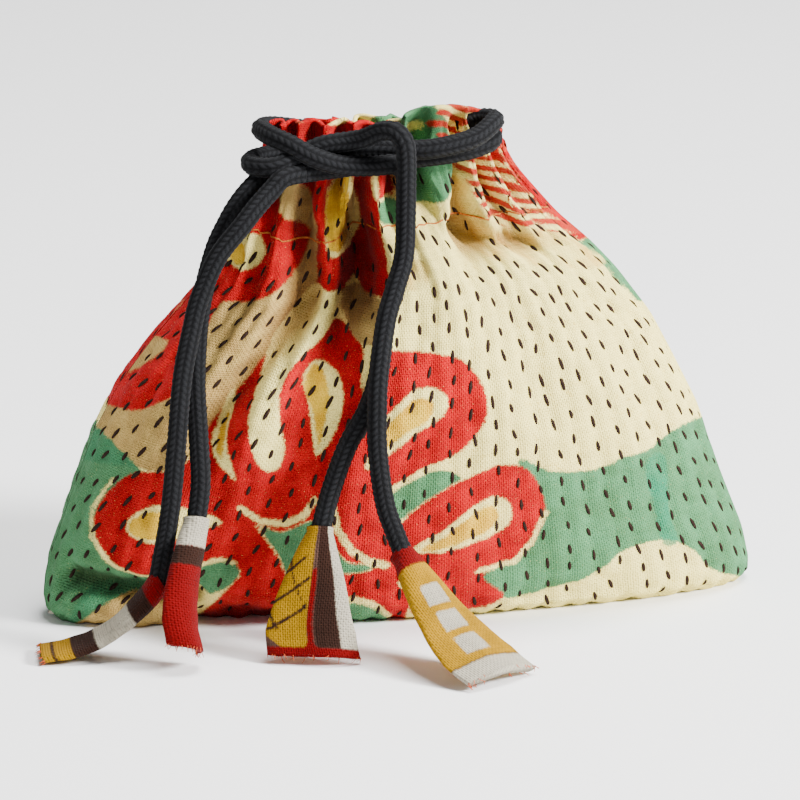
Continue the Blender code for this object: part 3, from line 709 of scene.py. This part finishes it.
def grid_faces(rows, columns, flip=False, closed=False, start=0):
    """Quads between rows of vertices that begin at start; closed joins the last column to the first."""
    i, j = np.meshgrid(np.arange(rows - 1), np.arange(columns if closed else columns - 1), indexing="ij")
    this_row, next_row, k = start + i * columns, start + (i + 1) * columns, (j + 1) % columns
    quads = np.stack((this_row + j, this_row + k, next_row + k, next_row + j), -1).reshape(-1, 4)
    return (quads[:, ::-1] if flip else quads).tolist()


def tube_faces(rings, sides):
    """The quads round a tube and a cap at each end."""
    last = (rings - 1) * sides
    caps = [list(range(sides))[::-1], list(range(last, last + sides))]
    return grid_faces(rings, sides, closed=True) + caps


def add_ring(vertices, centre, across, up, sides):
    """A ring of vertices about a centre; across and up are its half axes."""
    for k in range(sides):
        angle = 2 * math.pi * k / sides
        vertices.append(centre + across * math.cos(angle) + up * math.sin(angle))


# --------------------------------------------------------------- cloth panels
def stitch_places(u, w):
    """Centres and leans of the running stitches, in cloth coordinates."""
    places = []
    for j, x in enumerate(np.arange(u.min() + 3.0, u.max() - 2.0, STITCH_COLUMN)):
        for y in np.arange(2.0 + (j % 2) * STITCH_PITCH / 2, w.max() - 4.5, STITCH_PITCH):
            lean = np.interp(x, (-70, -15, 70), (0.5, 0.1, -0.25)) + rng.normal(0, 0.13)
            places.append((x + rng.normal(0, 0.45), y + rng.normal(0, 0.55), lean,
                           STITCH_LENGTH * rng.uniform(0.75, 1.15)))
    return places


def surface_sampler(points, u, w):
    """A function that gives the place, tangents and normal of the cloth at (u, w)."""
    row_u = u[0]

    def sample(x, y):
        c = float(np.interp(x, row_u, np.arange(len(row_u))))
        c0 = min(int(c), len(row_u) - 2)
        column = w[:, c0]
        r = float(np.interp(y, column, np.arange(len(column))))
        r0 = min(int(r), len(column) - 2)
        fc, fr = c - c0, r - r0
        a, b = points[r0, c0], points[r0, c0 + 1]
        d, e = points[r0 + 1, c0], points[r0 + 1, c0 + 1]
        place = (a * (1 - fc) + b * fc) * (1 - fr) + (d * (1 - fc) + e * fc) * fr
        across, along = (b - a) + (e - d), (d - a) + (e - b)
        across, along = across / np.linalg.norm(across), along / np.linalg.norm(along)
        normal = np.cross(across, along)
        return place, across, along, normal / (np.linalg.norm(normal) + 1e-9)

    return sample


def dimple(points, normals, u, w, places):
    """Each stitch pulls the layers together, and the cloth puffs up between the rows."""
    depth = np.zeros(u.shape)
    row_u = u[0]
    for x, y, lean, length in places:
        c0, c1 = np.searchsorted(row_u, (x - 3.0, x + 3.0))
        if c1 <= c0:
            continue
        column = w[:, (c0 + c1) // 2]
        r0, r1 = np.searchsorted(column, (y - 4.5, y + 4.5))
        du, dw = u[r0:r1, c0:c1] - x, w[r0:r1, c0:c1] - y
        s, c = math.sin(lean), math.cos(lean)
        along, across = dw * c + du * s, du * c - dw * s
        reach = np.hypot(np.maximum(np.abs(along) - length / 2, 0.0), across)
        depth[r0:r1, c0:c1] += DIMPLE_DEPTH * np.exp(-(reach / DIMPLE_RADIUS) ** 2)
    return points - normals * np.minimum(depth, DEEPEST_DIMPLE)[..., None]


def shows_stitch(place):
    """Stitches stop at the base seam and at the cords, and are fewer where the cloth is gathered."""
    z = place[2]
    return STITCH_BOTTOM < z < STITCH_TOP and (z < GATHERED_Z or rng.random() < GATHERED_SHARE)


def add_stitches(vertices, faces, sample, places, side):
    """Short lengths of thread lying on the cloth."""
    rings, sides = 6, 6
    for x, y, lean, length in places:
        place, across, along, normal = sample(x, y)
        if not shows_stitch(place):
            continue
        faces_out = normal[1] * side > 0 or place[2] < 1 and normal[2] < 0
        normal = normal if faces_out else -normal
        direction = along * math.cos(lean) + across * math.sin(lean)
        sideways = np.cross(normal, direction)
        start = len(vertices)
        for f in np.linspace(0.0, 1.0, rings):
            plump = max(0.25, math.sin(math.pi * (0.12 + 0.76 * f)) ** 0.6)
            centre = place + direction * (f - 0.5) * length + normal * (0.16 * math.sin(math.pi * f) - 0.04)
            add_ring(vertices, centre, sideways * plump * STITCH_WIDTH / 2,
                     normal * plump * STITCH_THICKNESS / 2, sides)
        faces += grid_faces(rings, sides, closed=True, start=start)
        faces.append(list(range(start, start + sides)))
        faces.append(list(range(len(vertices) - sides, len(vertices)))[::-1])


def seam_line(vertices, faces, points, turns, side):
    """The thin machine stitch that closes the drawcord channel, as one fine thread."""
    radius, sides = 0.2, 5
    outward, up = np.array((0.0, side, 0.0)), np.array((0.0, 0.0, 1.0))
    base_penalty = 1e3 * (np.arange(len(points)) < BASE_ROWS)
    start = len(vertices)
    columns = range(8, points.shape[1] - 8, 2)
    for i, c in enumerate(columns):
        height = SEAM_Z - 3.2 * math.exp(-((turns[-1, c] - 0.9) / 0.5) ** 2)
        row = int(np.argmin(np.abs(points[:, c, 2] - height) + base_penalty))
        centre = points[row, c] + outward * (0.08 + 0.10 * math.sin(i * 2.2))
        add_ring(vertices, centre, outward * radius, up * radius, sides)
    faces += grid_faces(len(columns), sides, closed=True, start=start)


def panel_shell(points, side):
    """Vertices and faces of an outer cloth, and the row where its inner face starts."""
    rows, columns = points.shape[:2]
    inner = points - grid_normals(points, side) * CLOTH
    # The cloth's thickness shows only at the frill, so the inner face starts a little below it.
    first = int(np.argmin(np.abs(points[:, columns // 2, 2] - INNER_FACE_Z)))
    vertices = [*points.reshape(-1, 3), *inner[first:].reshape(-1, 3)]
    faces = grid_faces(rows, columns, flip=side > 0)
    faces += grid_faces(rows - first, columns, flip=side < 0, start=rows * columns)
    outer_rim, inner_rim = (rows - 1) * columns, len(vertices) - columns
    for c in range(columns - 1):
        rim = [outer_rim + c, outer_rim + c + 1, inner_rim + c + 1, inner_rim + c]
        faces.append(rim if side < 0 else rim[::-1])
    return vertices, faces, first


def print_plane(turns, z, side):
    """Where the print lies: each side of the stuffed bag without its folds, as it is looked at."""
    x, y, z = cloth_point(turns, z, side, [])
    if side > 0:
        return -x, 0.98 * z - 4.0
    return ROUND_COS * x - ROUND_SIN * y, UP_COS * z + UP_SIN * (ROUND_SIN * x + ROUND_COS * y)


def paint_panel(mesh, u, w, first, layers):
    """Stores the cloth coordinates and the print, which the threads go without."""
    spare = len(mesh.vertices) - u.size - u[first:].size

    def spread(values, on_threads):
        return np.concatenate((values.ravel(), values[first:].ravel(), np.full(spare, on_threads)))

    store(mesh, "cloth", np.stack((spread(u, 0.0), spread(w, 0.0), spread(0 * u, 0.0)), -1),
          "FLOAT_VECTOR")
    for key, values in layers.items():
        store(mesh, key, spread(values, BARE))


def make_panel(name, side, folds, creases, print_function, materials):
    """One outer side of the bag: base, belly, gathered neck and frill, with its stitches."""
    points, turns = cloth_grid(side, folds, creases)
    u, w = cloth_coordinates(points)
    places = stitch_places(u, w)
    points = dimple(points, grid_normals(points, side), u, w, places)
    vertices, faces, first = panel_shell(points, side)
    counts = [len(faces)]
    add_stitches(vertices, faces, surface_sampler(points, u, w), places, side)
    counts.append(len(faces) - sum(counts))
    seam_line(vertices, faces, points, turns, side)
    counts.append(len(faces) - sum(counts))
    obj = mesh_object(name, vertices, faces, materials)
    set_slots(obj.data, counts)
    z = points[..., 2]
    layers = print_function(*print_plane(turns, z, side))
    depth = fold_depth(turns, z, folds) + crease_depth(turns, z, creases)
    # The depth of the folds and creases, which the printed cloth turns into painted shade.
    layers["fold"] = np.where(z < NECK_TOP, depth, 0.0)
    paint_panel(obj.data, u, w, first, layers)
    return obj, points


def make_lining(name, side, outer, material):
    """Plain inner cloth just behind the printed one, up to the channel."""
    rows = outer[outer[:, :, 2].mean(axis=1) < LINING_TOP][::3, ::3]
    inner = rows - grid_normals(rows, side) * LINING_GAP
    inner[..., 2] = np.maximum(inner[..., 2], 1.4)
    inner[..., 1] = side * np.maximum(side * inner[..., 1], 0.3)
    faces = grid_faces(*inner.shape[:2], flip=side > 0)
    obj = mesh_object(name, inner.reshape(-1, 3), faces, [material])
    u, w = cloth_coordinates(inner)
    store(obj.data, "cloth", np.stack((u, w, 0 * u), -1), "FLOAT_VECTOR")
    shell = obj.modifiers.new("cloth thickness", "SOLIDIFY")
    shell.thickness = LINING_CLOTH * MM
    shell.offset = side
    return obj


# --------------------------------------------------------------------- cords
def smooth_path(points, spacing):
    """A smooth curve through the points, walked at an even spacing in mm."""
    pts = np.array(points, float)
    pts = np.vstack((2 * pts[0] - pts[1], pts, 2 * pts[-1] - pts[-2]))
    fine = np.array([catmull_rom(*four, t) for four in zip(pts, pts[1:], pts[2:], pts[3:])
                     for t in np.arange(0, 1, 0.05)] + [pts[-2]])
    lengths = np.concatenate(([0.0], np.cumsum(np.linalg.norm(np.diff(fine, axis=0), axis=1))))
    walked = np.linspace(0.0, lengths[-1], round(lengths[-1] / spacing) + 1)
    return np.stack([np.interp(walked, lengths, fine[:, i]) for i in range(3)], -1), walked


def frames_along(path):
    """Two directions square to the path at each of its points, without any twist."""
    tangents = np.gradient(path, axis=0)
    tangents /= np.linalg.norm(tangents, axis=1, keepdims=True)
    across = np.cross(tangents[0], (0.0, 0.0, 1.0))
    sideways = []
    for tangent in tangents:
        across = across - tangent * (across @ tangent)
        across = across / np.linalg.norm(across)
        sideways.append(across)
    sideways = np.array(sideways)
    return sideways, np.cross(tangents, sideways)


def braided_tube(path, walked):
    """Vertices and ridge values of a round braid: columns of slanted, plump stitches."""
    a, b = frames_along(path)
    S, share = np.meshgrid(walked, np.arange(BRAID_SIDES) / BRAID_SIDES, indexing="ij")
    column = np.floor(share * BRAID_COLUMNS)
    inside = share * BRAID_COLUMNS - column
    slant = np.where(column % 2 == 0, 1.0, -1.0)
    phase = S / BRAID_PITCH + slant * (inside - 0.5) * 0.9
    ridge = np.abs(np.sin(math.pi * phase)) ** 0.6 * np.sin(math.pi * inside) ** 0.45
    radius = CORD_R - BRAID_RELIEF * (1 - ridge)
    angle = 2 * math.pi * share[..., None]
    offset = (a[:, None] * np.cos(angle) + b[:, None] * np.sin(angle)) * radius[..., None]
    return path[:, None] + offset, ridge


def cord_piece(name, rings, ridge, material):
    """One stretch of the braid, closed at both ends."""
    obj = mesh_object(name, rings.reshape(-1, 3), tube_faces(len(rings), BRAID_SIDES), [material])
    for cap in obj.data.polygons[-2:]:
        cap.use_smooth = False
    store(obj.data, "ridge", ridge)
    return obj


def make_strand(key, material):
    """One length of cord as two meshes that meet at the knot, and the path of its hanging end."""
    path, walked = smooth_path(ROUTES[key], PATH_STEP)
    rings, ridge = braided_tube(path, walked)
    knot = ROUTES[key][KNOT_INDEX[key] - 1]
    split = int(np.argmin(np.linalg.norm(path - np.array(knot), axis=1)))
    wrap = cord_piece(key + "_wrap", rings[:split + 1], ridge[:split + 1], material)
    end = cord_piece(key + "_hanging_end", rings[split:], ridge[split:], material)
    return wrap, end, path[split:]


# ---------------------------------------------------------------------- tabs
def tab_pattern(key, s, t):
    """Layers of a tab's print; s runs 0 to 1 down it and t -1 to 1 across."""
    bare = np.full_like(s, BARE)

    def band(low, high):
        return np.maximum(low - s, s - high) * 26.0

    def strip(low, high):
        return np.maximum(low - t, t - high) * 9.0

    if key == "left_front":
        return {"red": band(-0.2, 0.11), "brown": merge(band(0.11, 0.28), band(0.60, 0.78)),
                "white": band(0.28, 0.60), "yellow": band(0.78, 1.2), "lines": band(0.90, 0.925)}
    if key == "left_rear":
        return {"white": band(-0.2, 0.20), "brown": band(0.20, 0.36), "red": band(0.36, 1.2),
                "yellow": bare, "lines": bare}
    if key == "centre_left":
        steep = np.abs((s * 26 + t * 6) % 6.0 - 3.0) - 0.45
        shallow = np.abs((s * 20 - t * 9) % 9.0 - 4.5) - 0.4
        return {"yellow": np.maximum(strip(-1.2, -0.06), (s - 0.84 - 0.3 * (t + 1)) * 26.0),
                "red": merge(np.maximum(strip(-0.06, 0.12), band(0.30, 1.2)), band(0.93, 1.2)),
                "brown": np.maximum(strip(0.12, 0.66), band(-0.2, 0.93)),
                "white": np.maximum(strip(0.66, 1.2), band(-0.2, 0.93)),
                "lines": np.maximum(merge(steep, shallow), np.maximum(strip(-1.2, -0.08), band(0.2, 0.8)))}
    squares = merge(*[np.maximum(np.abs(s - place) * 30.0 - 2.2, np.abs(t + 0.04) * half_width - 3.4)
                      for place, half_width in ((0.33, 7.5), (0.53, 8.6), (0.73, 9.3))])
    return {"red": band(-0.2, 0.10), "yellow": bare, "brown": band(0.86, 0.875),
            "white": merge(squares, band(0.875, 1.2)), "lines": bare}


def tab_material(key):
    """A tab's ground colour with its own bands, strips or squares."""
    n = Nodes(key + "_tab_print")
    uv = cloth_uv(n)
    rough = n.wobble(uv, 0.8, 1.6, 3.0, 0.6)
    ground = {"left_front": BROWN, "left_rear": TAB_RED, "centre_left": TAB_GROUND,
              "centre_right": TAB_YELLOW}[key]
    colour = n.mix(n.ramp(n.noise(uv, 0.3), 0.3, 0.7), ground, [min(1.0, c * 1.25) for c in ground])
    for layer, ink in (("yellow", TAB_YELLOW), ("red", TAB_RED), ("brown", BROWN), ("white", WHITE),
                       ("lines", BROWN)):
        inside = n.ramp(n.plus(n.attribute(layer).outputs["Fac"], rough), 0.3, -0.3)
        colour = n.mix(inside, colour, ink)
    return finish_cloth(n, colour, uv)


def tab_line(key):
    """Where a tab starts, on the end of its cord, the way that it points, and its length."""
    pivot, tip, reach = np.array(ROUTES[key][-1]), np.array(TABS[key][0]), TABS[key][4]
    distance = np.linalg.norm(tip - pivot)
    return pivot, (tip - pivot) / distance, distance * reach


def tab_axes(key):
    """A tab's own directions: along it, across it, and out of its upper face."""
    along, hint = tab_line(key)[1], np.array(TABS[key][1])
    across = hint - along * np.dot(hint, along)
    across /= np.linalg.norm(across)
    normal = np.cross(along, across)
    return along, across, normal if normal @ TOWARDS_VIEWER > 0 else -normal


def tab_section(key, S, A):
    """Half width, width and thickness of the strip, from the pinched top to the open tip."""
    near_side, far_side = TABS[key][2:4]
    grow = np.clip(1.25 * np.clip(S, 0, 1), 0, 1) ** 0.9
    cosine, sine = np.cos(A), np.sin(A)
    half_w = TAB_TOP_R + (np.where(cosine < 0, near_side, far_side) - TAB_TOP_R) * grow
    half_t = TAB_TOP_R * (1 - grow) + 0.85 * grow + 0.25 * smoothstep(0.85, 1.0, np.clip(S, 0, 1))
    wide = half_w * np.sign(cosine) * np.abs(cosine) ** (1 - 0.25 * grow)
    thick = half_t * np.sign(sine) * np.abs(sine) ** (1 - 0.45 * grow)
    return half_w, wide, thick


def tab_surface(key):
    """The strip's points and, at each, its share of the way down, cloth coordinates and share across."""
    tent, bow_across, bow_out = TABS[key][5:]
    pivot, _, length = tab_line(key)
    along, across, normal = tab_axes(key)
    S, A = np.meshgrid(np.linspace(-TAB_OVERLAP, 1.0, TAB_ROWS),
                       np.linspace(0, 2 * math.pi, TAB_SIDES, endpoint=False), indexing="ij")
    half_w, wide, thick = tab_section(key, S, A)
    down = np.clip(S, 0, 1)
    ripple = 0.45 * np.sin(wide / 2.4 + 1.7 * len(key)) + 0.35 * np.sin(S * 9 + wide / 5)
    lift = (ripple + tent * (1 - (wide / half_w) ** 2)) * down
    lift += 0.25 * (lattice_noise(S * 12, wide / 3, 31) - 0.5)
    hem = 0.35 * (lattice_noise(wide * 1.3 + 50, 0 * wide, 33) - 0.5) * (S > 0.99)
    bow = 4 * down * (1 - down)
    sway = 0.5 * np.sin(2 * math.pi * down) * down * (1 + 0.6 * np.sign(np.cos(A)))
    points = (pivot + (S * length + hem)[..., None] * along
              + (wide + bow_across * bow + sway)[..., None] * across
              + (thick + lift + bow_out * bow)[..., None] * normal)
    points[..., 2] = np.maximum(points[..., 2], 0.3)
    return points, S, (wide, S * length, thick), wide / half_w


def make_tab(key):
    """A folded strip sewn over the cord's end: pinched at the top, open and frayed at the tip."""
    points, S, coordinates, share_across = tab_surface(key)
    vertices, faces = list(points.reshape(-1, 3)), tube_faces(TAB_ROWS, TAB_SIDES)
    strip_faces = len(faces)
    for k in rng.choice(TAB_SIDES, TAB_THREADS):
        fray(vertices, faces, points[-1, k], *tab_axes(key))
    obj = mesh_object(key + "_cloth_tab", vertices, faces, [tab_material(key), hem_threads])
    set_slots(obj.data, (strip_faces, len(faces) - strip_faces))
    on_threads = np.zeros(len(vertices) - S.size)
    cloth = [np.concatenate((values.ravel(), on_threads)) for values in coordinates]
    store(obj.data, "cloth", np.stack(cloth, -1), "FLOAT_VECTOR")
    for layer, values in tab_pattern(key, S, share_across).items():
        store(obj.data, layer, np.concatenate((values.ravel(), on_threads + BARE)))
    return obj


def fray(vertices, faces, root, along, across, normal):
    """One loose thread at a raw edge, with a slight curl."""
    rings, sides = 4, 3
    direction = along + 0.6 * rng.normal() * across + 0.25 * rng.normal() * normal
    direction /= np.linalg.norm(direction)
    length, curl = rng.uniform(0.5, 1.5), 0.3 * rng.normal()
    start = len(vertices)
    for f in np.linspace(0.0, 1.0, rings):
        centre = root + direction * (length * f - 0.2) + across * curl * f * f
        centre[2] = max(centre[2], 0.2)
        radius = 0.11 - 0.05 * f
        add_ring(vertices, centre, across * radius, normal * radius, sides)
    faces += grid_faces(rings, sides, closed=True, start=start)
    faces += [[start + 2, start + 1, start], [start + 9, start + 10, start + 11]]


# --------------------------------------------------------------------- build
panel_cloth = {side: printed_cloth(f"kantha_print_{side}") for side in ("front", "back")}
stitch_thread = thread_material("kantha_stitch_thread", THREAD)
seam_thread = thread_material("channel_seam_thread", SEAM_THREAD)
inner_cloth = plain_cloth("unbleached_inner_cloth", UNBLEACHED)
braid = braid_material("braided_cotton")
hem_threads = thread_material("frayed_hem_threads", HEM_THREAD)

for label, side, folds, creases, pattern in (("front", -1, FRONT_FOLDS, FRONT_CREASES, front_print),
                                             ("back", 1, BACK_FOLDS, BACK_CREASES, back_print)):
    panel, outer_points = make_panel(f"{label}_kantha_cloth", side, folds, creases, pattern,
                                     [panel_cloth[label], stitch_thread, seam_thread])
    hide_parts(f"{label}_panel", f"{label}_channel", f"{label}_header")
    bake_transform(panel)
    lining = make_lining(f"{label}_inner_cloth", side, outer_points, inner_cloth)
    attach(lining, "bag")
    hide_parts(f"{label}_lining")

for key in ROUTES:
    wrap, end, end_path = make_strand(key, braid)
    held, pair = ("right_cord", "left_tails") if key.startswith("left") else ("left_cord", "centre_tails")
    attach(wrap, "bag")
    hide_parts(held)
    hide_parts(key + "_tail")
    tab = make_tab(key)
    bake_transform(tab)
    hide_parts(key + "_tab")
    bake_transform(end)


# ---------------------------------------------- floor, light and camera (metres)
FLOOR_HALF, SKY_STRENGTH = 6.0, 0.27
# Name, place, size and power: a soft key light from the right, a weak fill and one from above.
LIGHTS = (("key", (1.05, -0.75, 0.80), 0.36, 78.0), ("fill", (-0.9, -0.9, 0.5), 0.8, 1.5),
          ("top", (0.25, 0.05, 1.3), 0.6, 30.0))
CAMERA_AZIMUTH, CAMERA_ELEVATION = -12, 15      # degrees: round to the left, and up
CAMERA_DISTANCE, VIEW_WIDTH, CAMERA_TARGET = 1.4, 0.1688, (0, 0, 0.043)


def make_floor():
    """A plain pale floor."""
    n = Nodes("pale_floor")
    n.shader.inputs["Base Color"].default_value = (0.93, 0.93, 0.93, 1)
    n.shader.inputs["Roughness"].default_value = 0.9
    far = FLOOR_HALF / MM
    floor = mesh_object("floor", [(-far, -far, 0), (far, -far, 0), (far, far, 0), (-far, far, 0)],
                        [[0, 1, 2, 3]], [n.material])


def make_lights():
    """An even pale sky and the area lights, which point at the bag."""
    world = bpy.data.worlds.new("studio")
    world.use_nodes = True
    sky = world.node_tree.nodes["Background"]
    sky.inputs["Color"].default_value = (1, 1, 1, 1)
    sky.inputs["Strength"].default_value = SKY_STRENGTH
    bpy.context.scene.world = world
    for name, place, size, power in LIGHTS:
        data = bpy.data.lights.new(name, "AREA")
        data.size, data.energy = size, power
        lamp = bpy.data.objects.new(name, data)
        lamp.location = place
        lamp.rotation_euler = (Vector((0, 0, 0.05)) - Vector(place)).to_track_quat("-Z", "Y").to_euler()
        bpy.context.scene.collection.objects.link(lamp)


def make_camera():
    """A long lens above the table and a little to the left."""
    azimuth, elevation = math.radians(CAMERA_AZIMUTH), math.radians(CAMERA_ELEVATION)
    data = bpy.data.cameras.new("camera")
    data.sensor_width = 36.0
    data.lens = data.sensor_width * CAMERA_DISTANCE / VIEW_WIDTH
    data.clip_end = 20.0
    camera = bpy.data.objects.new("camera", data)
    offset = Vector((math.sin(azimuth) * math.cos(elevation), -math.cos(azimuth) * math.cos(elevation),
                     math.sin(elevation)))
    camera.location = Vector(CAMERA_TARGET) + CAMERA_DISTANCE * offset
    camera.rotation_euler = (-offset).to_track_quat("-Z", "Y").to_euler()
    bpy.context.scene.collection.objects.link(camera)
    bpy.context.scene.camera = camera


make_floor()
make_lights()
make_camera()
